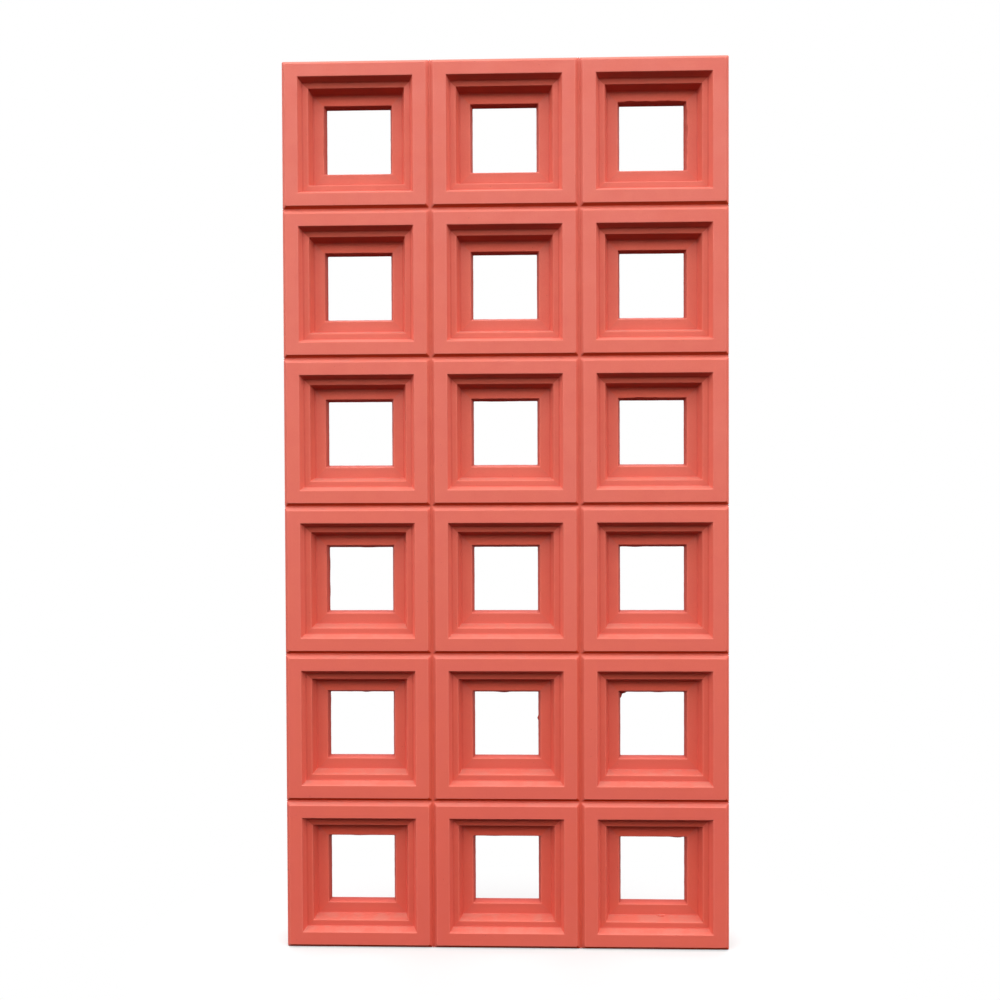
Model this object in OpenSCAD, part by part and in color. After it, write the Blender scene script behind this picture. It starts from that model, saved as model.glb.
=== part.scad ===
// Hollow brick partition panel.
// Square hollow bricks in a stack bond, glued face to face with a thin bed, and tied by
// round steel rods that lie in the key cast round the edge of every brick.
// The panel stands on its bottom edge: +Z is up, +X runs along it and the front faces -Y.
// The origin is the middle of the bottom edge, at half the panel's depth.
// Row 1 is the bottom course and column 1 is the left one, seen from the front.

/* [Grid] */
// Bricks across the panel
columns = 3; // [1:1:4]
// Bricks up the panel
rows = 6; // [1:1:8]

/* [Brick] */
// Height and width of one brick, from edge face to edge face
brick_side = 198.5; // [170:0.5:300]
// Depth of one brick, from front face to back face
brick_depth = 65; // [60:1:120]
// Chamfer along the four front and four back edges of a brick
edge_chamfer = 4.5; // [2:0.5:8]
// Radius of the moulded outer corners
edge_radius = 1.2; // [0.6:0.1:2]
// Radius of the moulded inner corners, where a slope meets a ledge
root_radius = 2; // [0.8:0.1:3]

/* [Recess] */
// Width of the front rim, from the edge face to the recess
rim_width = 21.5; // [16:0.5:30]
// Sideways run of the outer slope
outer_slope_run = 4.5; // [3:0.5:8]
// Depth of the outer slope
outer_slope_depth = 10; // [6:0.5:14]
// Width of the ledge between the two slopes
outer_ledge_width = 8; // [5:0.5:10]
// Sideways run of the inner slope
inner_slope_run = 4; // [3:0.5:8]
// Depth of the inner slope
inner_slope_depth = 14; // [8:0.5:15]
// Width of the ledge round the opening
inner_ledge_width = 14.5; // [8:0.5:16]
// Sideways taper of the opening, from the ledge to the middle of the brick
throat_taper = 3; // [1:0.5:5]

/* [Joints] */
// Thickness of the adhesive between two bricks
joint_thickness = 1.5; // [0.5:0.25:4]
// Sideways run of each flank of the key round a brick's edge
key_flank_run = 3; // [1:0.5:4]
// Adhesive cover round the rods and sockets
key_cover = 2.5; // [1.5:0.25:3.5]

/* [Rods] */
// Diameter of the tie rods
rod_diameter = 8; // [5:0.5:10]
// Gap all round between a rod and the adhesive that is cast on it
rod_clearance = 0.15; // [0.05:0.05:0.3]
// Gap between an upright rod and a bed rod where they cross
rod_crossing_gap = 1; // [1:0.25:3]
// Diameter of the fixing dowel that a socket takes
dowel_diameter = 10; // [6:0.5:12]
// Gap all round between the dowel and its socket
dowel_clearance = 0.2; // [0.1:0.05:0.5]
// Depth of a socket, from the bottom of the key to the end of the upright rod
socket_depth = 60; // [30:5:75]
// Adhesive left beyond each end of a bed rod
rod_end_cover = 15; // [8:1:40]

/* [Hidden] */
pitch = brick_side + joint_thickness;
panel_width = columns * pitch - joint_thickness;
panel_height = rows * pitch - joint_thickness;
half_side = brick_side / 2;
half_depth = brick_depth / 2;

// Half widths of the recess, from the rim to the opening
rim_edge = half_side - rim_width;
outer_ledge_edge = rim_edge - outer_slope_run;
inner_slope_edge = outer_ledge_edge - outer_ledge_width;
inner_ledge_edge = inner_slope_edge - inner_slope_run;
throat_edge = inner_ledge_edge - inner_ledge_width;
throat_middle = throat_edge - throat_taper;

// Depths of the two ledges, with zero in the middle of the brick
outer_ledge_y = -half_depth + outer_slope_depth;
inner_ledge_y = outer_ledge_y + inner_slope_depth;

// The edge faces end at the chamfers, and the adhesive fills them right out to there
edge_face_y = half_depth - edge_chamfer;

// Upright rods lie in front of the middle of the key and bed rods behind it
rod_bore_radius = rod_diameter / 2 + rod_clearance;
socket_radius = dowel_diameter / 2 + dowel_clearance;
widest_bore = max(rod_bore_radius, socket_radius);
rod_offset = (rod_diameter + rod_crossing_gap) / 2;
key_floor_y = rod_offset + widest_bore + key_cover;
key_mouth_y = key_floor_y + key_flank_run;
key_depth = widest_bore + key_cover - joint_thickness / 2;

// An upright rod ends at its sockets, and a bed rod ends inside its joint
socket_bottom = key_depth + socket_depth;
upright_rod_length = panel_height - 2 * socket_bottom;
bed_rod_length = panel_width - 2 * (key_depth + rod_end_cover);

arc_steps = 3;
round_fn = 48;
overcut = 1;
brick_colour = [0.86, 0.40, 0.34];
joint_colour = [0.78, 0.34, 0.29];
steel_colour = [0.62, 0.63, 0.65];

function brick_name(row, column) = str("brick_row", row, "_col", column);
function head_joint_name(row, gap) = str("head_joint_row", row, "_gap", gap);
function bed_joint_name(gap) = str("bed_joint_", gap);
function bed_rod_name(gap) = str("bed_rod_", gap);
function upright_rod_name(gap) = str("upright_rod_", gap);

// One brick alone has no joints, so the ranges below are empty lists then
column_gaps = columns > 1 ? [1:columns - 1] : [];
row_gaps = rows > 1 ? [1:rows - 1] : [];

// Places of brick centres and joints
function brick_x(column) = (column - 1) * pitch + half_side - panel_width / 2;
function brick_z(row) = (row - 1) * pitch + half_side;
function column_gap_x(gap) = gap * pitch - joint_thickness / 2 - panel_width / 2;
function row_gap_z(gap) = gap * pitch - joint_thickness / 2;

// Corner rounding for outlines
function unit(v) = v / norm(v);
function turn_angle(a, b) = atan2(a.x * b.y - a.y * b.x, a.x * b.x + a.y * b.y);
function turned(v, angle) = [
    v.x * cos(angle) - v.y * sin(angle),
    v.x * sin(angle) + v.y * cos(angle)];

// The points of the arc that rounds the corner at p, between the points before and after it
function corner_arc(before, p, after, radius) =
    let (
        way_in = unit(p - before),
        turn = turn_angle(way_in, unit(after - p)),
        side = turn > 0 ? 1 : -1,
        start = p - way_in * radius * tan(abs(turn) / 2),
        centre = start + turned(way_in, 90 * side) * radius)
    [for (i = [0:arc_steps]) centre + turned(start - centre, turn * i / arc_steps)];

// A path whose inner points are [x, y, radius]; its two end points only give directions
function rounded_path(points) = [
    for (i = [1:len(points) - 2])
        let (p = [points[i][0], points[i][1]])
        each points[i][2] > 0
            ? corner_arc(
                [points[i - 1][0], points[i - 1][1]],
                p,
                [points[i + 1][0], points[i + 1][1]],
                points[i][2])
            : [p]];

// A path from the front face to the middle of the depth, carried on to the back by its mirror image
function front_to_back(front, middle = []) = concat(
    front,
    middle,
    [for (i = [len(front) - 1:-1:0]) [front[i][0], -front[i][1], front[i][2]]]);

// The right side of an outline, closed by its mirror image
function both_sides(right) = concat(
    right,
    [for (i = [len(right) - 1:-1:0]) [-right[i].x, right[i].y]]);

// Outside of a brick: chamfers, edge faces and the key along the middle of them
brick_outline = both_sides(rounded_path(front_to_back([
    [0, -half_depth, 0],
    [half_side - edge_chamfer, -half_depth, edge_radius],
    [half_side, -edge_face_y, edge_radius],
    [half_side, -key_mouth_y, 0],
    [half_side - key_depth, -key_floor_y, 0]])));

// Right side of the recess on both faces, with the opening between them
recess_side = rounded_path(front_to_back(
    [
        [half_side, -half_depth, 0],
        [rim_edge, -half_depth, edge_radius],
        [outer_ledge_edge, outer_ledge_y, root_radius],
        [inner_slope_edge, outer_ledge_y, edge_radius],
        [inner_ledge_edge, inner_ledge_y, root_radius],
        [throat_edge, inner_ledge_y, edge_radius]
    ],
    [[throat_middle, 0, 0]]));

// The recess reaches past both faces, so that it cuts them cleanly
recess_outline = both_sides(concat(
    [recess_side[0] - [0, overcut]],
    recess_side,
    [recess_side[len(recess_side) - 1] + [0, overcut]]));

// Right side of a joint at distance x, with the key standing out of it or cut back into it
function joint_side(x, key) = [
    [x, -edge_face_y],
    [x, -key_mouth_y],
    [x + key, -key_floor_y],
    [x + key, key_floor_y],
    [x, key_mouth_y],
    [x, edge_face_y]];

// Across its thickness a joint fills the keys of the bricks on both sides
joint_section = both_sides(joint_side(joint_thickness / 2, key_depth));

// Along its length a joint ends where the key that crosses it begins
function joint_plan(length) = both_sides(joint_side(length / 2, -key_depth));

// What two outlines have in common: the first is run along Z and the second along X
module crossed(along_z, along_x, reach) {
    intersection() {
        linear_extrude(height = reach, center = true) polygon(along_z);
        rotate([0, 90, 0]) linear_extrude(height = reach, center = true) polygon(along_x);
    }
}

// A straight bore along Z between two heights
module bore(bottom, top, radius) {
    translate([0, 0, bottom]) cylinder(h = top - bottom, r = radius, $fn = round_fn);
}

// One hollow brick, the same from both faces
module brick() {
    color(brick_colour)
        difference() {
            crossed(brick_outline, brick_outline, brick_side + 2 * overcut);
            crossed(recess_outline, recess_outline, brick_side);
        }
}

// Adhesive between two courses, along the whole panel, with a blind bore for its rod
module bed_joint() {
    bore_end = bed_rod_length / 2 + rod_clearance;
    color(joint_colour)
        difference() {
            crossed(joint_plan(panel_width), joint_section, panel_width + 2 * overcut);
            translate([0, rod_offset, 0])
                rotate([0, 90, 0]) bore(-bore_end, bore_end, rod_bore_radius);
            for (gap = column_gaps)
                translate([column_gap_x(gap), -rod_offset, 0])
                    bore(-half_side, half_side, rod_bore_radius);
        }
}

// Adhesive between two bricks of one course, with a dowel socket where it ends at the panel's edge
module head_joint(row) {
    past_end = half_side + overcut;
    socket_end = half_side - socket_bottom;
    rod_bottom = row == 1 ? -socket_end : -past_end;
    rod_top = row == rows ? socket_end : past_end;
    color(joint_colour)
        difference() {
            crossed(joint_section, joint_plan(brick_side), brick_side + 2 * overcut);
            translate([0, -rod_offset, 0]) {
                bore(rod_bottom, rod_top, rod_bore_radius);
                if (row == 1)
                    bore(-past_end, rod_bottom, socket_radius);
                if (row == rows)
                    bore(rod_top, past_end, socket_radius);
            }
        }
}

// A round steel rod along Z
module tie_rod(length) {
    color(steel_colour) cylinder(h = length, d = rod_diameter, center = true, $fn = round_fn);
}

for (row = [1:rows], column = [1:columns])
    translate([brick_x(column), 0, brick_z(row)]) brick();
for (row = [1:rows], gap = column_gaps)
    translate([column_gap_x(gap), 0, brick_z(row)]) head_joint(row);
for (gap = row_gaps)
    translate([0, 0, row_gap_z(gap)]) bed_joint();
for (gap = row_gaps)
    translate([0, rod_offset, row_gap_z(gap)]) rotate([0, 90, 0]) tie_rod(bed_rod_length);
for (gap = column_gaps)
    translate([column_gap_x(gap), -rod_offset, panel_height / 2]) tie_rod(upright_rod_length);
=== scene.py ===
"""Looks of the hollow brick partition panel: painted bricks, tooled joints and steel rods.

Everything is in metres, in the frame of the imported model: +Z up, front faces -Y, and the
origin in the middle of the bottom edge, at half the panel's depth.
"""
import math

import bmesh
import bpy
from mathutils import Matrix, Vector, noise


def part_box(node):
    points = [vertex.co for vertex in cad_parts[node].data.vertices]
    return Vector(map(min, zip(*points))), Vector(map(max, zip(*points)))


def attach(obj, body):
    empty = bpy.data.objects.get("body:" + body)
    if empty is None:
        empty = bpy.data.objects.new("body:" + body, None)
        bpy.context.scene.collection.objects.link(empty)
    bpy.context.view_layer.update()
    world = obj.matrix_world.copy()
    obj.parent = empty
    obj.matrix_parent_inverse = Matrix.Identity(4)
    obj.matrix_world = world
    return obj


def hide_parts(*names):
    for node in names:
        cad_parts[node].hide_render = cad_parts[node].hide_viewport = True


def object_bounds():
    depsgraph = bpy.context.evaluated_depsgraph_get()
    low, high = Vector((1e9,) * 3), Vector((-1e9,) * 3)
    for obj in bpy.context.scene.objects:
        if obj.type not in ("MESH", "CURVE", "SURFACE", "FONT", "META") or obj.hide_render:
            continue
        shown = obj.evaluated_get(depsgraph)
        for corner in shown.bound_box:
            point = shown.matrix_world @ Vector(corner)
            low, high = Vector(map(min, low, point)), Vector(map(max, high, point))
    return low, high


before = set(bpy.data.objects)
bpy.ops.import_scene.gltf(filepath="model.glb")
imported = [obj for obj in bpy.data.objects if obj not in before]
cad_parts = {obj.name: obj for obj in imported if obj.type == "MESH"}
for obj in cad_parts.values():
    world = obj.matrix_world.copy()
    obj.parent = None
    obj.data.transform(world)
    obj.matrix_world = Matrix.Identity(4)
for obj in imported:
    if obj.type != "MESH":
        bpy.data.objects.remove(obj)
cad_low, cad_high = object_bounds()

MM = 0.001

# Grid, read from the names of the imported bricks
BRICKS = [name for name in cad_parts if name.startswith("brick_")]
COLUMNS = max(int(name.split("_col")[1]) for name in BRICKS)
ROWS = max(int(name.split("_row")[1].split("_")[0]) for name in BRICKS)
BRICK_LOW, BRICK_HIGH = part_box("brick_row1_col1")
HALF_SIDE = (BRICK_HIGH.x - BRICK_LOW.x) / 2
HALF_DEPTH = (BRICK_HIGH.y - BRICK_LOW.y) / 2

# Sizes of one brick that its box doesn't give
EDGE_CHAMFER = 4.5 * MM
EDGE_RADIUS = 1.2 * MM
ROOT_RADIUS = 2.0 * MM
RIM_WIDTH = 21.5 * MM
OUTER_SLOPE_RUN = 4.5 * MM
OUTER_SLOPE_DEPTH = 10.0 * MM
OUTER_LEDGE_WIDTH = 8.0 * MM
INNER_SLOPE_RUN = 4.0 * MM
INNER_SLOPE_DEPTH = 14.0 * MM
INNER_LEDGE_WIDTH = 14.5 * MM
THROAT_TAPER = 3.0 * MM
KEY_DEPTH = 6.95 * MM
KEY_FLOOR_Y = 12.2 * MM
KEY_MOUTH_Y = 15.2 * MM

# Half widths of the recess's edges, from the rim inwards
RIM_EDGE = HALF_SIDE - RIM_WIDTH
OUTER_LEDGE_EDGE = RIM_EDGE - OUTER_SLOPE_RUN
INNER_SLOPE_EDGE = OUTER_LEDGE_EDGE - OUTER_LEDGE_WIDTH
INNER_LEDGE_EDGE = INNER_SLOPE_EDGE - INNER_SLOPE_RUN
THROAT_EDGE = INNER_LEDGE_EDGE - INNER_LEDGE_WIDTH
SEAM_EDGE = THROAT_EDGE - THROAT_TAPER

# Distances of the two ledges from the middle plane
OUTER_LEVEL = HALF_DEPTH - OUTER_SLOPE_DEPTH
INNER_LEVEL = OUTER_LEVEL - INNER_SLOPE_DEPTH

# Unevenness of the castings
RECESS_CORNER_RADIUS = 1.0 * MM
OUTER_CORNER_RADIUS = 1.9 * MM
FACE_WAVE = 0.16 * MM
FACE_WAVE_LENGTH = 55 * MM
SEAM_HALF_THICKNESS = 0.45 * MM
SEAM_HEIGHT = 0.35 * MM
SEAM_WAVE_LENGTH = 9 * MM
LIP_WAVE_LENGTH = 7 * MM
LIP_REACH = 6 * MM

# Steps through the noise that give each casting its own unevenness
ROW_SEED = 17
COLUMN_SEED = 5
SEAM_SEED_STEP = 3.7
LIP_SEED_STEP = 2.3

# Fillet of adhesive tooled between the chamfers. It reaches up both of them to where its arc
# meets them smoothly
JOINT_THICKNESS = 1.5 * MM
BEAD_RADIUS = 1.95 * MM
BEAD_REACH = BEAD_RADIUS * math.sin(math.pi / 4)
BEAD_END = 2.0 * MM
BEAD_THICKNESS = 1.0 * MM
BEAD_CROSSING = 4.0 * MM

# Mesh of the fillets: step along one, steps across half of one, steps from there to the end of
# a crossing, and how far into the fillet a cell has to reach to be made
BEAD_STEP = 5 * MM
BEAD_ARC_STEPS = 4
BEAD_CORNER_STEPS = 6
BEAD_MARGIN = 0.01 * MM


# Camera

CAMERA_PLACE = Vector((0.027, -1.3325, 0.6275))
CAMERA_PAN = math.radians(1.51)
CAMERA_TILT = math.radians(-0.866)
CAMERA_ROLL = math.radians(0.22)
CAMERA_LENS = 34.87
CAMERA_SENSOR = 36


def make_camera():
    """The photograph's view: near the middle of the height, turned a little to the left."""
    data = bpy.data.cameras.new("camera")
    data.sensor_width = CAMERA_SENSOR
    data.lens = CAMERA_LENS
    camera = bpy.data.objects.new("camera", data)
    bpy.context.scene.collection.objects.link(camera)
    level = Vector((-math.sin(CAMERA_PAN), math.cos(CAMERA_PAN), 0))
    side = Vector((math.cos(CAMERA_PAN), math.sin(CAMERA_PAN), 0))
    ahead = level * math.cos(CAMERA_TILT) + Vector((0, 0, math.sin(CAMERA_TILT)))
    above = -level * math.sin(CAMERA_TILT) + Vector((0, 0, math.cos(CAMERA_TILT)))
    right = side * math.cos(CAMERA_ROLL) - above * math.sin(CAMERA_ROLL)
    up = side * math.sin(CAMERA_ROLL) + above * math.cos(CAMERA_ROLL)
    turn = Matrix((right, up, -ahead)).transposed().to_4x4()
    camera.matrix_world = Matrix.Translation(CAMERA_PLACE) @ turn
    bpy.context.scene.camera = camera


# Node helpers

class Shader:
    """A short way to build a node tree. A value may be a number, a colour or a node's output."""

    def __init__(self, tree):
        self.tree = tree
        self.tree.nodes.clear()

    def node(self, kind, inputs=None, **settings):
        made = self.tree.nodes.new(kind)
        for name, value in settings.items():
            setattr(made, name, value)
        for socket, value in (inputs or {}).items():
            self.put(made.inputs[socket], value)
        return made

    def put(self, socket, value):
        if isinstance(value, bpy.types.NodeSocket):
            self.tree.links.new(value, socket)
        else:
            socket.default_value = value

    def maths(self, operation, a, b=0.0):
        made = self.node("ShaderNodeMath", operation=operation)
        self.put(made.inputs[0], a)
        self.put(made.inputs[1], b)
        return made.outputs[0]

    def ramp(self, value, low, high, to_low=0.0, to_high=1.0, smooth=True):
        made = self.node("ShaderNodeMapRange",
                         {"Value": value, "From Min": low, "From Max": high,
                          "To Min": to_low, "To Max": to_high},
                         interpolation_type="SMOOTHSTEP" if smooth else "LINEAR")
        return made.outputs["Result"]

    def mix(self, factor, a, b):
        made = self.node("ShaderNodeMix", data_type="RGBA")
        self.put(made.inputs["Factor"], factor)
        self.put(made.inputs["A"], a)
        self.put(made.inputs["B"], b)
        return made.outputs["Result"]

    def mix_in(self, colour, other, where, share):
        """Adds a share of another colour, where a value from 0 to 1 says."""
        return self.mix(self.maths("MULTIPLY", where, share), colour, other)

    def noise(self, place, scale, detail=2.0, roughness=0.5):
        made = self.node("ShaderNodeTexNoise",
                         {"Vector": place, "Scale": scale, "Detail": detail, "Roughness": roughness})
        return made.outputs["Fac"]

    def split(self, vector):
        return self.node("ShaderNodeSeparateXYZ", {"Vector": vector}).outputs

    def attribute(self, name):
        return self.node("ShaderNodeAttribute", attribute_name=name).outputs["Fac"]


def new_material(name):
    material = bpy.data.materials.new(name)
    material.use_nodes = True
    return material, Shader(material.node_tree)


def linear(red, green, blue):
    """An sRGB colour, 0 to 255, as a linear colour for a socket."""
    def one(value):
        value /= 255
        return value / 12.92 if value <= 0.04045 else ((value + 0.055) / 1.055) ** 2.4
    return (one(red), one(green), one(blue), 1.0)


# Materials

# Paint low and high on the panel. The high one is paler and lighter: a painted sheen of light on the
# upper rows
CORAL_LOW = linear(206, 83, 66)
CORAL_HIGH = linear(214, 102, 84)
CORAL_WARM = linear(215, 95, 72)
CORAL_COOL = linear(206, 87, 76)
# Painted highlight on the arrises and lips
CORAL_ARRIS_HIGHLIGHT = linear(220, 112, 94)
CORAL_DEEP = linear(190, 66, 52)
# Painted shade deep in the openings and in the pits
CORAL_HOLLOW_SHADE = linear(150, 50, 42)
# Dust, and with it a paler painted sheen of the light on upward faces
DUST_AND_SHEEN = linear(180, 120, 106)
STEEL_DARK = linear(150, 150, 152)
STEEL_LIGHT = linear(176, 177, 180)
RUST = linear(122, 84, 62)

# Height at which the upper rows' paler colour, a painted sheen of light, is reached
PAINTED_SHEEN_HEIGHT = 0.75

# Strength of the joints' colour, next to 1 for the bricks
JOINT_STRENGTH = 1.035

# The roller left less paint in the recesses and under edges, so those are duller
GLOSS_OPEN, GLOSS_SHELTERED = 0.65, 0.04

# Scales of the patterns: how many of their waves or cells fit in a metre
CLOUD_SCALE = 7.0
SHEEN_SCALE = 25.0
BLOTCH_SCALE = 42.0
TROWEL_SCALE = 55.0
PIT_SCALE = 105.0
ROLLER_SCALE = 380.0
GRAIN_SCALE = 900.0
BLOOM_SCALE = 90.0
DRAWN_SCALE = 650.0

# A noise's values lie mostly between the first two. Clouds have crisper edges, and rust blooms
# only where the noise is high
NOISE_LOW, NOISE_HIGH = 0.3, 0.7
CLOUD_LOW, CLOUD_HIGH = 0.35, 0.65
BLOOM_LOW, BLOOM_HIGH = 0.55, 0.75

# How much of each colour is mixed in where it is strongest
WARM_SHARE = 0.3
TINT_SHARE = 0.25
ARRIS_HIGHLIGHT_SHARE = 0.35
ROOT_SHADE_SHARE = 0.45
THROAT_SHADE_SHARE = 0.8
DUST_AND_SHEEN_SHARE = 0.5
GRAIN_SHARE = 0.14
PIT_SHADE_SHARE = 0.55
RUST_SHARE = 0.5

# Share of the painted shade deep in the openings at their arrises, from where it grows to 1 at the seam
THROAT_START = 0.3

# Upward part of the normal at which dust starts to settle and at which it lies fully, and how
# much of it lies between the blotches
DUST_START, DUST_FULL = 0.3, 0.95
DUST_THIN = 0.4

# Pits, as shares of a cell: the largest radius and the width of the soft edge. Cells whose
# chance is below PIT_CHANCE have none
PIT_RADIUS = 0.085
PIT_EDGE = 0.03
PIT_CHANCE = 0.55

# Depth of the relief and strength of its bump, in paint and in steel
PAINT_RELIEF, PAINT_BUMP = 0.4 * MM, 0.7
STEEL_RELIEF, STEEL_BUMP = 0.1 * MM, 0.2

# Parts of the paint's relief, as shares of its depth
ROLLER_RELIEF = 0.22
TROWEL_RELIEF = 0.5
PIT_RELIEF = 0.9

# Roughness: smoothest and roughest paint, what dust adds, bare steel and rust
PAINT_SMOOTH, PAINT_ROUGH, DUST_ROUGH = 0.60, 0.70, 0.12
STEEL_ROUGH, RUST_ROUGH = 0.32, 0.6


def paint_pits(s, place):
    """1 in the small air pits of the cement and 0 between them. The pits differ in size."""
    cells = s.node("ShaderNodeTexVoronoi", {"Vector": place, "Scale": PIT_SCALE}, feature="F1").outputs
    chance = s.node("ShaderNodeSeparateColor", {"Color": cells["Color"]}).outputs["Red"]
    radius = s.ramp(chance, PIT_CHANCE, 1.0, 0.0, PIT_RADIUS, smooth=False)
    return s.ramp(s.maths("SUBTRACT", radius, cells["Distance"]), 0.0, PIT_EDGE)


def settled_dust(s, blotch):
    """How much dust lies on a place: most on upward faces, in blotches, and none in the openings."""
    upward = s.split(s.node("ShaderNodeNewGeometry").outputs["Normal"])["Z"]
    lying = s.ramp(upward, DUST_START, DUST_FULL)
    settled = s.maths("MULTIPLY", lying, s.ramp(blotch, 0.1, 0.9, DUST_THIN, 1.0))
    outside = s.ramp(s.attribute("throat"), 0.0, THROAT_START, 1.0, 0.0)
    return s.maths("MULTIPLY", settled, outside)


def paint_base(s, place, blotch, tint, strength):
    """The paint by height, paler and lighter higher up as a painted sheen, in clouds and blotches, with
    the tone and strength of its surface, which are painted light and shade.
    """
    colour = s.mix(s.ramp(s.split(place)["Z"], 0.0, PAINTED_SHEEN_HEIGHT), CORAL_LOW, CORAL_HIGH)
    cloud = s.ramp(s.noise(place, CLOUD_SCALE, detail=3.0), CLOUD_LOW, CLOUD_HIGH)
    colour = s.mix_in(colour, CORAL_WARM, cloud, WARM_SHARE)
    colour = s.mix_in(colour, tint, blotch, TINT_SHARE)
    # The tone and strength shifts are painted light and shade, set per surface and side
    inputs = {"Color": colour,
              "Value": s.maths("ADD", s.attribute("painted_light_tone_shift"), 1.0),
              "Saturation": s.maths("ADD", s.attribute("painted_light_strength_shift"), strength)}
    return s.node("ShaderNodeHueSaturation", inputs).outputs["Color"]


def paint_relief(s, place, pit):
    """Normals of the roller's texture, soft trowel marks under the paint, and the pits."""
    roller = s.noise(place, ROLLER_SCALE, detail=3.0, roughness=0.55)
    trowel = s.noise(place, TROWEL_SCALE)
    relief = s.maths("ADD", s.maths("MULTIPLY", roller, ROLLER_RELIEF),
                     s.maths("MULTIPLY", trowel, TROWEL_RELIEF))
    relief = s.maths("SUBTRACT", relief, s.maths("MULTIPLY", pit, PIT_RELIEF))
    inputs = {"Strength": PAINT_BUMP, "Distance": PAINT_RELIEF, "Height": relief}
    return s.node("ShaderNodeBump", inputs).outputs["Normal"]


def painted(name, tint, strength):
    """Satin masonry paint over cast cement, with small pits, roller texture and a little dust."""
    material, s = new_material(name)
    place = s.node("ShaderNodeTexCoord").outputs["Object"]
    blotch = s.noise(place, BLOTCH_SCALE, detail=4.0, roughness=0.6)
    blotch = s.ramp(blotch, NOISE_LOW, NOISE_HIGH)
    pit = paint_pits(s, place)
    settled = settled_dust(s, blotch)

    colour = paint_base(s, place, blotch, tint, strength)
    # Lighter on the arrises and lips: a painted highlight
    colour = s.mix_in(colour, CORAL_ARRIS_HIGHLIGHT, s.attribute("arris"), ARRIS_HIGHLIGHT_SHARE)
    # Darker in the roots between slopes and ledges: painted shade in the creases
    colour = s.mix_in(colour, CORAL_DEEP, s.attribute("root"), ROOT_SHADE_SHARE)
    # Darker deep in the openings: painted shade
    colour = s.mix_in(colour, CORAL_HOLLOW_SHADE, s.attribute("throat"), THROAT_SHADE_SHARE)
    # Dust on upward faces, which is also a paler painted sheen of the light that falls on them
    colour = s.mix_in(colour, DUST_AND_SHEEN, settled, DUST_AND_SHEEN_SHARE)
    grain = s.noise(place, GRAIN_SCALE, roughness=0.6)
    colour = s.mix(s.ramp(grain, NOISE_LOW, NOISE_HIGH, 0.0, GRAIN_SHARE), colour, CORAL_DEEP)
    # Darker in the pits: painted shade
    colour = s.mix_in(colour, CORAL_HOLLOW_SHADE, pit, PIT_SHADE_SHARE)

    sheen = s.noise(place, SHEEN_SCALE, detail=3.0)
    rough = s.ramp(sheen, NOISE_LOW, NOISE_HIGH, PAINT_SMOOTH, PAINT_ROUGH)
    rough = s.maths("ADD", rough, s.maths("MULTIPLY", settled, DUST_ROUGH))
    gloss = s.ramp(s.attribute("shelter"), 0.0, 1.0, GLOSS_OPEN, GLOSS_SHELTERED, smooth=False)
    shader = s.node("ShaderNodeBsdfPrincipled",
                    {"Base Color": colour, "Roughness": rough, "Specular IOR Level": gloss,
                     "Normal": paint_relief(s, place, pit)})
    s.node("ShaderNodeOutputMaterial", {"Surface": shader.outputs["BSDF"]})
    return material


def bright_steel():
    """Drawn steel bar with a fine grain and a thin bloom of rust."""
    material, s = new_material("rod_steel")
    place = s.node("ShaderNodeTexCoord").outputs["Object"]
    drawn = s.noise(place, DRAWN_SCALE, detail=3.0, roughness=0.6)
    bloom = s.noise(place, BLOOM_SCALE, detail=4.0, roughness=0.6)
    bloom = s.ramp(bloom, BLOOM_LOW, BLOOM_HIGH, 0.0, RUST_SHARE)
    colour = s.mix(s.ramp(drawn, NOISE_LOW, NOISE_HIGH), STEEL_DARK, STEEL_LIGHT)
    colour = s.mix(bloom, colour, RUST)
    rough = s.ramp(bloom, 0.0, RUST_SHARE, STEEL_ROUGH, RUST_ROUGH)
    bump = s.node("ShaderNodeBump", {"Strength": STEEL_BUMP, "Distance": STEEL_RELIEF, "Height": drawn})
    shader = s.node("ShaderNodeBsdfPrincipled",
                    {"Base Color": colour, "Roughness": rough, "Metallic": 1.0,
                     "Normal": bump.outputs["Normal"]})
    s.node("ShaderNodeOutputMaterial", {"Surface": shader.outputs["BSDF"]})
    return material


# Section through one wall of a brick

# Steps in a rounded corner, longest step on a straight, and length of the short step that a
# straight has at each end
ARC_STEPS = 5
WALL_STEP = 6 * MM
WALL_END_STEP = 0.35 * MM


def arc(before, corner, after, radius):
    """Points of the arc that rounds a corner of a path."""
    way_in = (corner - before).normalized()
    way_out = (after - corner).normalized()
    turn = math.atan2(way_in.x * way_out.y - way_in.y * way_out.x, way_in.dot(way_out))
    start = corner - way_in * radius * math.tan(abs(turn) / 2)
    square_turn = Matrix.Rotation(math.copysign(math.pi / 2, turn), 2)
    centre = start + square_turn @ way_in * radius
    return [centre + Matrix.Rotation(turn * i / ARC_STEPS, 2) @ (start - centre)
            for i in range(ARC_STEPS + 1)]


def rounded(corners):
    """A path of (half width, depth, mark) from corners of (half width, depth, radius, mark)."""
    places = [Vector(corner[:2]) for corner in corners]
    path = []
    for i in range(1, len(corners) - 1):
        radius, mark = corners[i][2:]
        if radius:
            path += [(p.x, p.y, mark) for p in arc(places[i - 1], places[i], places[i + 1], radius)]
        else:
            path.append((places[i].x, places[i].y, mark))
    return path


def divided(path):
    """The same path with its straights divided into steps, with a short step at each end."""
    out = [path[0]]
    for (x0, y0, _), (x1, y1, mark) in zip(path, path[1:]):
        length = math.hypot(x1 - x0, y1 - y0)
        if length > 3 * WALL_END_STEP:
            middle = length - 2 * WALL_END_STEP
            count = max(1, math.ceil(middle / WALL_STEP))
            stops = [WALL_END_STEP + middle * i / count for i in range(count + 1)]
            out += [(x0 + (x1 - x0) * d / length, y0 + (y1 - y0) * d / length, None) for d in stops]
        out.append((x1, y1, mark))
    return out


def mirrored(corners):
    """The corners of the back half of a section, from those of its front half."""
    return [(x, -y, radius, mark) for x, y, radius, mark in reversed(corners)]


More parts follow.
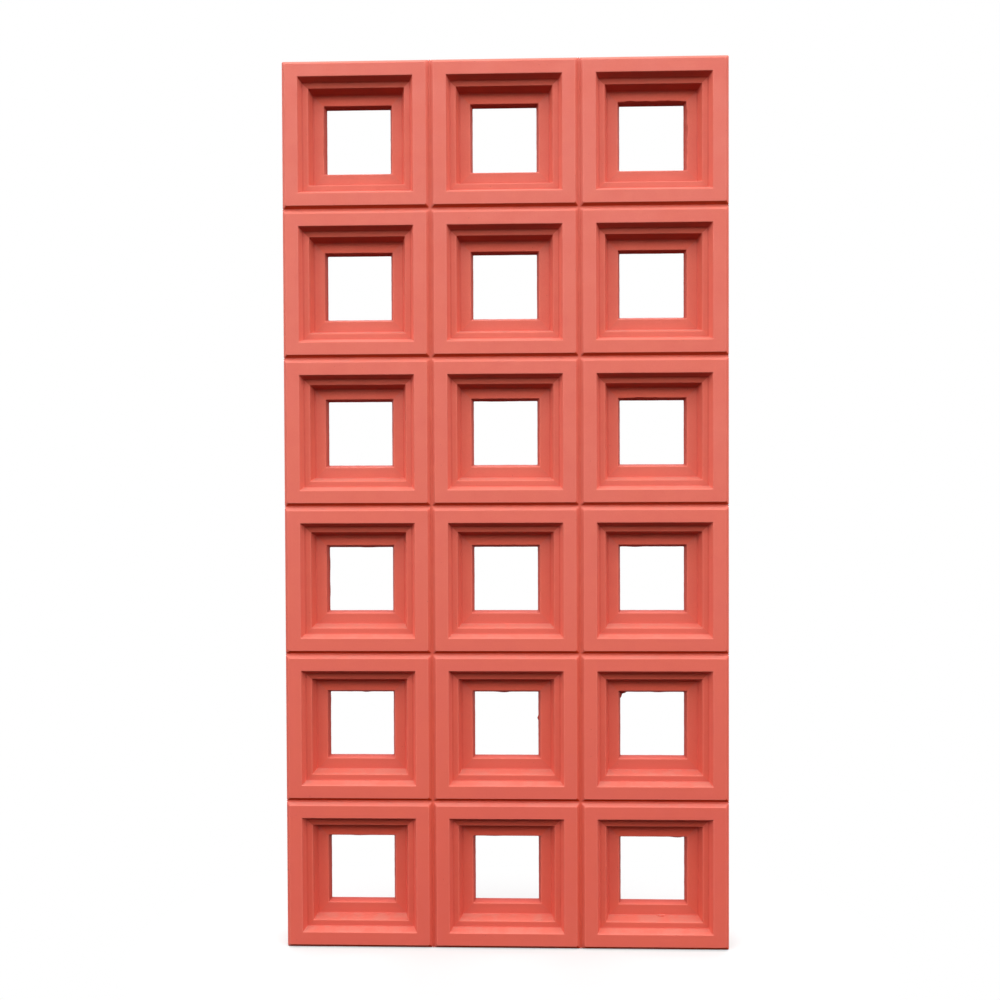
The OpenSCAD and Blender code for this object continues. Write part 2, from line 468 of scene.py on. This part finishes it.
def recess_path():
    """From the rim down both slopes and ledges and through the opening to the back rim."""
    front = [
        (HALF_SIDE, -HALF_DEPTH, 0, None),
        (RIM_EDGE, -HALF_DEPTH, EDGE_RADIUS, "arris"),
        (OUTER_LEDGE_EDGE, -OUTER_LEVEL, ROOT_RADIUS, "root"),
        (INNER_SLOPE_EDGE, -OUTER_LEVEL, EDGE_RADIUS, "arris"),
        (INNER_LEDGE_EDGE, -INNER_LEVEL, ROOT_RADIUS, "root"),
        (THROAT_EDGE, -INNER_LEVEL, EDGE_RADIUS, "lip"),
    ]
    seam = [
        (SEAM_EDGE, -SEAM_HALF_THICKNESS, 0, None),
        (SEAM_EDGE, 0, 0, "seam"),
        (SEAM_EDGE, SEAM_HALF_THICKNESS, 0, None),
    ]
    return rounded(front + seam + mirrored(front))


def outside_path():
    """From the back rim over the chamfers and the keyed edge face to the front rim."""
    front = [
        (0, -HALF_DEPTH, 0, None),
        (HALF_SIDE - EDGE_CHAMFER, -HALF_DEPTH, EDGE_RADIUS, "arris"),
        (HALF_SIDE, -HALF_DEPTH + EDGE_CHAMFER, EDGE_RADIUS, "arris"),
        (HALF_SIDE, -KEY_MOUTH_Y, 0, None),
        (HALF_SIDE - KEY_DEPTH, -KEY_FLOOR_Y, 0, None),
    ]
    return rounded(list(reversed(front + mirrored(front))))


def brick_section():
    """The closed section of one brick wall: recess side first, then the outside."""
    loop = recess_path() + outside_path()
    return divided(loop + loop[:1])[:-1]


# Bricks

# Steps along each side of a ring and round each of its corners
SIDE_STEPS = 22
CORNER_STEPS = 3

# Sides of a brick in the order in which a ring goes round them
SIDES = ("right", "top", "left", "bottom")

# Paint by surface and side of a brick: how far it was out of the roller's reach, its tone and its colour
# strength. Tone and strength are painted light and shade: each surface and side is made lighter or
# darker, and stronger in colour where shaded, by how light falls on it
COATS = {
    ("rim", "any"): (0.0, 1.0, 1.0),
    ("groove", "any"): (0.0, 0.95, 1.0),
    ("groove", "left"): (0.0, 0.9, 1.02),
    ("groove", "right"): (0.0, 1.0, 1.03),
    ("groove", "bottom"): (1.0, 0.88, 1.1),
    ("outer_slope", "any"): (0.45, 1.07, 0.985),
    ("outer_slope", "top"): (1.0, 0.97, 0.985),
    ("outer_slope", "bottom"): (0.45, 0.97, 0.975),
    ("outer_ledge", "any"): (0.45, 1.04, 1.0),
    ("outer_ledge", "top"): (0.85, 0.82, 1.02),
    ("outer_ledge", "bottom"): (0.45, 0.97, 0.985),
    ("inner_slope", "any"): (0.45, 1.03, 0.995),
    ("inner_slope", "top"): (1.0, 0.82, 0.99),
    ("inner_slope", "bottom"): (0.45, 0.94, 0.98),
    ("inner_ledge", "any"): (0.45, 1.05, 1.0),
    ("inner_ledge", "top"): (0.85, 1.14, 1.01),
    ("inner_ledge", "bottom"): (0.45, 0.98, 0.985),
    ("throat", "any"): (0.45, 1.0, 1.0),
    ("throat", "top"): (1.0, 0.9, 0.98),
}

# What a point of a brick tells the paint, in the order in which paint_marks gives it
MARKS = ("arris", "root", "throat", "shelter", "painted_light_tone_shift", "painted_light_strength_shift")

# Flash on the moulding seam, as seen in the photograph. For each brick as (row, column): place
# round the opening, reach along it and height, in millimetres
FLASH = {
    (4, 2): [((-12, 43), 16, 0.3)],
    (3, 1): [((-43, 20), 12, 0.5), ((-43, -16), 9, 0.5), ((10, 43), 12, 0.4)],
    (3, 3): [((-24, 43), 10, 0.5)],
    (2, 1): [((6, 43), 6, 0.7), ((-43, 34), 8, 0.5)],
    (2, 2): [((-4, 43), 9, 1.0), ((43, 8), 2.5, 1.5)],
    (2, 3): [((-43, 43), 7, 3.4), ((10, 43), 9, 0.5)],
    (1, 1): [((-6, 43), 12, 0.4)],
    (1, 2): [((-20, 43), 10, 0.4)],
    (1, 3): [((34, 43), 9, 1.1), ((37, 43), 3, 0.9)],
}

# Torn arrises round the openings, in the same form
TORN = {
    (6, 3): [((-22, 46), 22, 2.4), ((18, 46), 24, 2.0), ((46, 14), 28, 2.2), ((46, -26), 22, 1.8)],
    (6, 1): [((-46, 0), 40, 1.0)],
    (4, 3): [((-10, 46), 18, 1.2)],
}


def square_ring(half, corner):
    """Points round a square with rounded corners, as (x, z) from its centre."""
    points = []
    flat = half - corner
    for quarter in range(len(SIDES)):
        turn = Matrix.Rotation(math.pi / 2 * quarter, 2)
        for i in range(SIDE_STEPS + 1):
            points.append(turn @ Vector((half, -flat + 2 * flat * i / SIDE_STEPS)))
        for i in range(1, CORNER_STEPS):
            angle = math.pi / 2 * i / CORNER_STEPS
            arm = Vector((math.cos(angle), math.sin(angle))) * corner
            points.append(turn @ (Vector((flat, flat)) + arm))
    return points


def side_of(i):
    """The side of a brick that a point of a ring belongs to."""
    return SIDES[i // (SIDE_STEPS + CORNER_STEPS)]


def corner_radius(half):
    """Corner radius of the ring at a half width: small in the recess, larger on the outside."""
    rim_outside = HALF_SIDE - EDGE_CHAMFER - EDGE_RADIUS
    share = (half - RIM_EDGE) / (rim_outside - RIM_EDGE)
    share = min(max(share, 0.0), 1.0)
    return RECESS_CORNER_RADIUS + (OUTER_CORNER_RADIUS - RECESS_CORNER_RADIUS) * share


def ragged(place, level, coarse, fine, ratio):
    """An uneven value, never below 0: a level, coarse noise and noise that is finer by a ratio."""
    return max(0.0, level + coarse * noise.noise(place) + fine * noise.noise(place * ratio))


def seam_height(seed, point, flash):
    """How far the moulding seam stands into the opening at a point round it."""
    place = Vector((point.x, point.y, seed * SEAM_SEED_STEP)) / SEAM_WAVE_LENGTH
    height = SEAM_HEIGHT * ragged(place, level=0.5, coarse=0.5, fine=0.3, ratio=3.1)
    for (x, z), reach, extra in flash:
        away = (point - Vector((x, z)) * MM).length / (reach * MM)
        height += extra * MM * max(0.0, 1 - away * away)
    return height


def lip_tear(seed, point, torn):
    """How far the arris round the opening has broken back from it."""
    place = Vector((point.x, point.y, seed * LIP_SEED_STEP)) / LIP_WAVE_LENGTH
    depth = 0.0
    for (x, z), reach, extra in torn:
        away = (point - Vector((x, z)) * MM).length / (reach * MM)
        depth += extra * MM * max(0.0, 1 - away ** 4)
    return depth * ragged(place, level=0.6, coarse=0.8, fine=0.5, ratio=2.7)


def lip_share(half, depth):
    """How much of a torn arris's shift a ring follows: all at the arris, none far from it."""
    if depth > 0 or -depth > INNER_LEVEL + EDGE_RADIUS:
        return 0.0
    if half > THROAT_EDGE:
        return max(0.0, 1 - (half - THROAT_EDGE) / LIP_REACH)
    return min(1.0, -depth / INNER_LEVEL)


def wavy(point, depth, seed):
    """The depth of a point on the slightly wavy faces of a casting. The seam's edges stay put."""
    if abs(depth) <= SEAM_HALF_THICKNESS:
        return depth
    place = Vector((point.x, depth, point.y)) / FACE_WAVE_LENGTH + Vector((seed, 0, -seed))
    sink = FACE_WAVE * (0.5 + 0.5 * noise.noise(place))
    return depth - math.copysign(sink, depth)


def throat_share(half, depth):
    """How deep a ring lies in the opening, and so how much painted shade it gets: least at its arrises
    and 1 at the seam in the middle.
    """
    if half > INNER_LEDGE_EDGE or abs(depth) >= INNER_LEVEL - EDGE_RADIUS / 2:
        return 0.0
    return THROAT_START + (1 - THROAT_START) * (1 - abs(depth) / INNER_LEVEL)


def surface(half, depth):
    """The name of the surface that a ring of the section lies on."""
    if half > HALF_SIDE - EDGE_CHAMFER:
        return "groove"
    if half > RIM_EDGE:
        return "rim"
    edge = EDGE_RADIUS / 2
    if abs(depth) > OUTER_LEVEL - edge:
        return "outer_slope" if abs(depth) > OUTER_LEVEL + edge else "outer_ledge"
    if abs(depth) > INNER_LEVEL - edge:
        return "inner_slope" if abs(depth) > INNER_LEVEL + edge else "inner_ledge"
    return "throat"


def paint_marks(half, depth, mark, side):
    """What a point tells the paint. Tone and strength are shifts of painted light and shade, so that 0
    changes nothing.
    """
    arris = 1.0 if mark in ("arris", "lip") else 0.0
    root = 1.0 if mark == "root" else 0.0
    name = surface(half, depth)
    shelter, tone, strength = COATS.get((name, side), COATS[name, "any"])
    return arris, root, throat_share(half, depth), shelter, tone - 1, strength - 1


def tube_faces(rings, size):
    """Faces between neighbouring rings of points. The last ring is joined to the first."""
    faces = []
    for i in range(rings):
        a, b = i * size, (i + 1) % rings * size
        for j in range(size):
            k = (j + 1) % size
            faces.append((a + j, a + k, b + k, b + j))
    return faces


def smooth_mesh(name, verts, faces):
    mesh = bpy.data.meshes.new(name)
    mesh.from_pydata(verts, [], faces)
    mesh.shade_smooth()
    mesh.update()
    return mesh


def brick_mesh(name, row, column):
    """One cast brick about its own centre, with the unevenness of its own casting."""
    seed = row * ROW_SEED + column * COLUMN_SEED
    flash = FLASH.get((row, column), [])
    torn = TORN.get((row, column), [])
    section = brick_section()
    verts, marks = [], []
    for half, depth, mark in section:
        for i, point in enumerate(square_ring(half, corner_radius(half))):
            y = wavy(point, depth, seed)
            inward = -point.normalized()
            if mark == "seam":
                point = point + inward * seam_height(seed, point, flash)
            if torn:
                point = point - inward * lip_share(half, depth) * lip_tear(seed, point, torn)
            verts.append((point.x, y, point.y))
            marks.append(paint_marks(half, depth, mark, side_of(i)))
    mesh = smooth_mesh(name, verts, tube_faces(len(section), len(verts) // len(section)))
    for key, values in zip(MARKS, zip(*marks)):
        mesh.attributes.new(key, "FLOAT", "POINT").data.foreach_set("value", values)
    return mesh


def add_piece(name, mesh, material, slot, *nodes):
    """Links a mesh as a piece that rides the panel and stands for CAD nodes, if any are named."""
    piece = bpy.data.objects.new(name, mesh)
    bpy.context.scene.collection.objects.link(piece)
    mesh.materials.append(material)
    piece.modifiers.new("even_shading", "WEIGHTED_NORMAL").keep_sharp = True
    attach(piece, "root")
    if nodes:
        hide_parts(*nodes)
    return piece


def make_bricks(material):
    """A casting in the place of every packed brick."""
    for row in range(1, ROWS + 1):
        for column in range(1, COLUMNS + 1):
            node = f"brick_row{row}_col{column}"
            low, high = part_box(node)
            mesh = brick_mesh(f"cast_{node}", row, column)
            mesh.transform(Matrix.Translation((low + high) / 2))
            add_piece(f"cast_{node}", mesh, material, "painted_brick", node)


# A crumb of cement on the lower inner slope of one brick: row and column, its place from the
# brick's centre as (x, y, z), half its size, and how lumpy it is
CRUMB_BRICK = (1, 3)
CRUMB_PLACE = Vector((11.0, -9.8, -61.0)) * MM
CRUMB_HALF_SIZE = Vector((5.6, 1.8, 1.5)) * MM
CRUMB_LUMPS = 0.25
CRUMB_LUMP_SCALE = 1.7


def make_crumb(material):
    row, column = CRUMB_BRICK
    low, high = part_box(f"brick_row{row}_col{column}")
    ball = bmesh.new()
    bmesh.ops.create_icosphere(ball, subdivisions=3, radius=1.0)
    for vert in ball.verts:
        lumpy = vert.co * (1 + CRUMB_LUMPS * noise.noise(vert.co * CRUMB_LUMP_SCALE))
        vert.co = lumpy * CRUMB_HALF_SIZE + CRUMB_PLACE + (low + high) / 2
    mesh = bpy.data.meshes.new("crumb")
    ball.to_mesh(mesh)
    ball.free()
    mesh.shade_smooth()
    add_piece("crumb", mesh, material, "painted_brick")


# Joints and rods

def bead_depth(side):
    """Distance from the panel's middle plane to the fillet, at a distance from its centre line."""
    apex = HALF_DEPTH - EDGE_CHAMFER - JOINT_THICKNESS / 2
    side = min(max(side, 0.0), BEAD_REACH)
    return apex + BEAD_RADIUS * math.sqrt(2) - math.sqrt(BEAD_RADIUS ** 2 - side ** 2)


def crossing_side(x, z):
    """How far a point lies up its fillet, at distances from the nearest upright and level groove."""
    radius = OUTER_CORNER_RADIUS
    apart = (x - z) / 2
    if abs(apart) > radius / 2:
        return min(x, z)
    return (x + z) / 2 - radius + math.sqrt(radius ** 2 / 2 - apart ** 2)


def stretch(start, end):
    """Evenly spaced places after the start, up to the end."""
    steps = round((end - start) / BEAD_STEP)
    return [start + (end - start) * i / steps for i in range(1, steps + 1)]


def net_lines(start, end, grooves):
    """Places of the net's lines along one side of the panel, close together over each groove."""
    curve = [BEAD_RADIUS * math.sin(math.pi / 4 * i / BEAD_ARC_STEPS) for i in range(BEAD_ARC_STEPS)]
    corner = [BEAD_REACH + (BEAD_CROSSING - BEAD_REACH) * i / BEAD_CORNER_STEPS
              for i in range(BEAD_CORNER_STEPS + 1)]
    beside = sorted({sign * away for away in curve + corner for sign in (-1, 1)})
    lines = [start]
    for groove in grooves:
        lines += stretch(lines[-1], groove - BEAD_CROSSING)
        lines += [groove + away for away in beside[1:]]
    return lines + stretch(lines[-1], end)


def bead_mesh(name, face, groove_x, groove_z):
    """The fillets on the front (face -1) or back (face 1), as one net that covers only the grooves."""
    lines_x = net_lines(cad_low[0] + BEAD_END, cad_high[0] - BEAD_END, groove_x)
    lines_z = net_lines(cad_low[2] + BEAD_END, cad_high[2] - BEAD_END, groove_z)
    away_x = [min(abs(x - groove) for groove in groove_x) for x in lines_x]
    away_z = [min(abs(z - groove) for groove in groove_z) for z in lines_z]
    verts, faces, index = [], [], {}
    for i in range(len(lines_x) - 1):
        for j in range(len(lines_z) - 1):
            corners = [(i, j), (i + 1, j), (i + 1, j + 1), (i, j + 1)]
            sides = [crossing_side(away_x[k], away_z[m]) for k, m in corners]
            if min(sides) > BEAD_REACH - BEAD_MARGIN:
                continue
            for (k, m), side in zip(corners, sides):
                if (k, m) not in index:
                    index[k, m] = len(verts)
                    verts.append((lines_x[k], face * bead_depth(side), lines_z[m]))
            ring = [index[corner] for corner in corners]
            faces.append(ring if face < 0 else ring[::-1])
    return smooth_mesh(name, verts, faces)


def middle_of(node, axis):
    low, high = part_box(node)
    return (low[axis] + high[axis]) / 2


def make_beads(material):
    """Tooled fillets over all joints, one piece on each face of the panel."""
    groove_x = [middle_of(f"head_joint_row1_gap{i}", 0) for i in range(1, COLUMNS)]
    groove_z = [middle_of(f"bed_joint_{i}", 2) for i in range(1, ROWS)]
    for face, side in ((-1, "front"), (1, "back")):
        mesh = bead_mesh(f"beads_{side}", face, groove_x, groove_z)
        beads = add_piece(f"beads_{side}", mesh, material, "painted_joint")
        thickness = beads.modifiers.new("thickness", "SOLIDIFY")
        thickness.thickness = BEAD_THICKNESS
        # Thickness comes first, so that the shading is evened out on the finished shape
        beads.modifiers.move(1, 0)


def dress_nodes(prefixes, material):
    """Gives a material to the CAD nodes whose names start in one of the given ways."""
    for name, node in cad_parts.items():
        if name.startswith(prefixes):
            node.data.materials.clear()
            node.data.materials.append(material)


# Floor and light

WHITE = (1, 1, 1, 1)

# The floor as it is seen, and much darker for the light that it throws back onto the panel.
# White is mixed in: a share close to the panel, and all of it past the reach of the shadow
FLOOR_SEEN = (0.6, 0.6, 0.6, 1)
FLOOR_UNSEEN = (0.02, 0.02, 0.02, 1)
WHITE_SHARE = 0.35
SHADOW_REACH = 0.22
FLOOR_RADIUS = 4.0
FLOOR_STEPS = 96
FLOOR_Z = -0.2 * MM

# Sky light, and the upward part of a direction at which it starts and at which it is full
SKY_LIGHT = 1.25
SKY_START, SKY_FULL = 0.4, 0.75

# Softboxes round the panel: direction seen from above in degrees, 0 in front and 90 on the
# right, then rise above the horizon in degrees, height of the box and radiance
SOFTBOXES = [
    (-72, 45, 7.4, 2.3),
    (-24, 45, 7.4, 2.3),
    (24, 45, 7.4, 1.6),
    (72, 45, 7.4, 2.5),
    (-60, 27, 4.2, 2.8),
    (0, 27, 4.2, 1.9),
    (60, 27, 4.2, 2.5),
    (-60, 13, 3.0, 2.0),
    (60, 13, 3.0, 1.6),
    (150, 45, 7.4, 1.8),
    (180, 27, 4.2, 2.4),
    (210, 45, 7.4, 1.8),
]
SOFTBOX_AIM = Vector((0, 0, 0.6))
SOFTBOX_DISTANCE = 12.0
SOFTBOX_WIDTH = 8.6


def shown_directly(s):
    """1 for rays that show the floor or sky as background: camera, glossy and transmission."""
    path = s.node("ShaderNodeLightPath").outputs
    seen = s.maths("MAXIMUM", path["Is Camera Ray"], path["Is Glossy Ray"])
    return s.maths("MAXIMUM", seen, path["Is Transmission Ray"])


def past(s, coordinate, limit):
    """How far a coordinate lies past the panel on either side."""
    return s.maths("MAXIMUM", s.maths("SUBTRACT", s.maths("ABSOLUTE", coordinate), limit), 0.0)


def floor_material():
    """Pale floor that keeps the panel's shadow near it and fades into the white far off."""
    material, s = new_material("floor")
    place = s.split(s.node("ShaderNodeTexCoord").outputs["Object"])
    beside = past(s, place["X"], cad_high[0])
    before = past(s, place["Y"], cad_high[1])
    away = s.maths("SQRT", s.maths("ADD", s.maths("MULTIPLY", beside, beside),
                                   s.maths("MULTIPLY", before, before)))
    seen = shown_directly(s)
    lit = s.node("ShaderNodeBsdfDiffuse", {"Color": s.mix(seen, FLOOR_UNSEEN, FLOOR_SEEN)})
    white = s.node("ShaderNodeEmission", {"Color": WHITE, "Strength": 1.0})
    share = s.maths("MULTIPLY", seen, s.ramp(away, 0.0, SHADOW_REACH, WHITE_SHARE, 1.0))
    both = s.node("ShaderNodeMixShader", {0: share, 1: lit.outputs[0], 2: white.outputs[0]})
    s.node("ShaderNodeOutputMaterial", {"Surface": both.outputs[0]})
    return material


def make_floor():
    """A round floor a hair below the panel."""
    angles = [2 * math.pi * i / FLOOR_STEPS for i in range(FLOOR_STEPS)]
    rim = [(FLOOR_RADIUS * math.cos(angle), FLOOR_RADIUS * math.sin(angle), FLOOR_Z) for angle in angles]
    mesh = bpy.data.meshes.new("floor")
    mesh.from_pydata(rim, [], [tuple(range(FLOOR_STEPS))])
    mesh.materials.append(floor_material())
    floor = bpy.data.objects.new("floor", mesh)
    bpy.context.scene.collection.objects.link(floor)


def make_world():
    """White to look at, and soft light from high in the sky for the panel."""
    world = bpy.data.worlds.new("sky")
    bpy.context.scene.world = world
    world.use_nodes = True
    s = Shader(world.node_tree)
    upward = s.split(s.node("ShaderNodeTexCoord").outputs["Generated"])["Z"]
    level = s.ramp(upward, SKY_START, SKY_FULL, 0.0, SKY_LIGHT)
    sky = s.node("ShaderNodeBackground", {"Color": WHITE, "Strength": level})
    white = s.node("ShaderNodeBackground", {"Color": WHITE, "Strength": 1.0})
    both = s.node("ShaderNodeMixShader", {0: shown_directly(s), 1: sky.outputs[0], 2: white.outputs[0]})
    s.node("ShaderNodeOutputWorld", {"Surface": both.outputs[0]})


def make_softbox(direction, rise, height, radiance):
    """A large soft lamp that shines down on the panel from one side."""
    turn, lift = math.radians(direction), math.radians(rise)
    away = Vector((math.sin(turn) * math.cos(lift), -math.cos(turn) * math.cos(lift), math.sin(lift)))
    data = bpy.data.lights.new(f"softbox_{direction}_{rise}", "AREA")
    data.shape = "RECTANGLE"
    data.size, data.size_y = SOFTBOX_WIDTH, height
    data.energy = radiance * math.pi * data.size * data.size_y
    lamp = bpy.data.objects.new(data.name, data)
    lamp.location = SOFTBOX_AIM + away * SOFTBOX_DISTANCE
    lamp.rotation_euler = (-away).to_track_quat("-Z", "Y").to_euler()
    lamp.visible_camera = False
    bpy.context.scene.collection.objects.link(lamp)


def make_lights():
    make_world()
    for direction, rise, height, radiance in SOFTBOXES:
        make_softbox(direction, rise, height, radiance)


bpy.context.scene.view_settings.view_transform = "Standard"
make_camera()
coral = painted("painted_brick", CORAL_COOL, 1.0)
joint_paint = painted("painted_joint", CORAL_DEEP, JOINT_STRENGTH)
make_bricks(coral)
make_beads(joint_paint)
make_crumb(coral)
dress_nodes(("bed_joint", "head_joint"), joint_paint)
dress_nodes(("bed_rod", "upright_rod"), bright_steel())
make_floor()
make_lights()
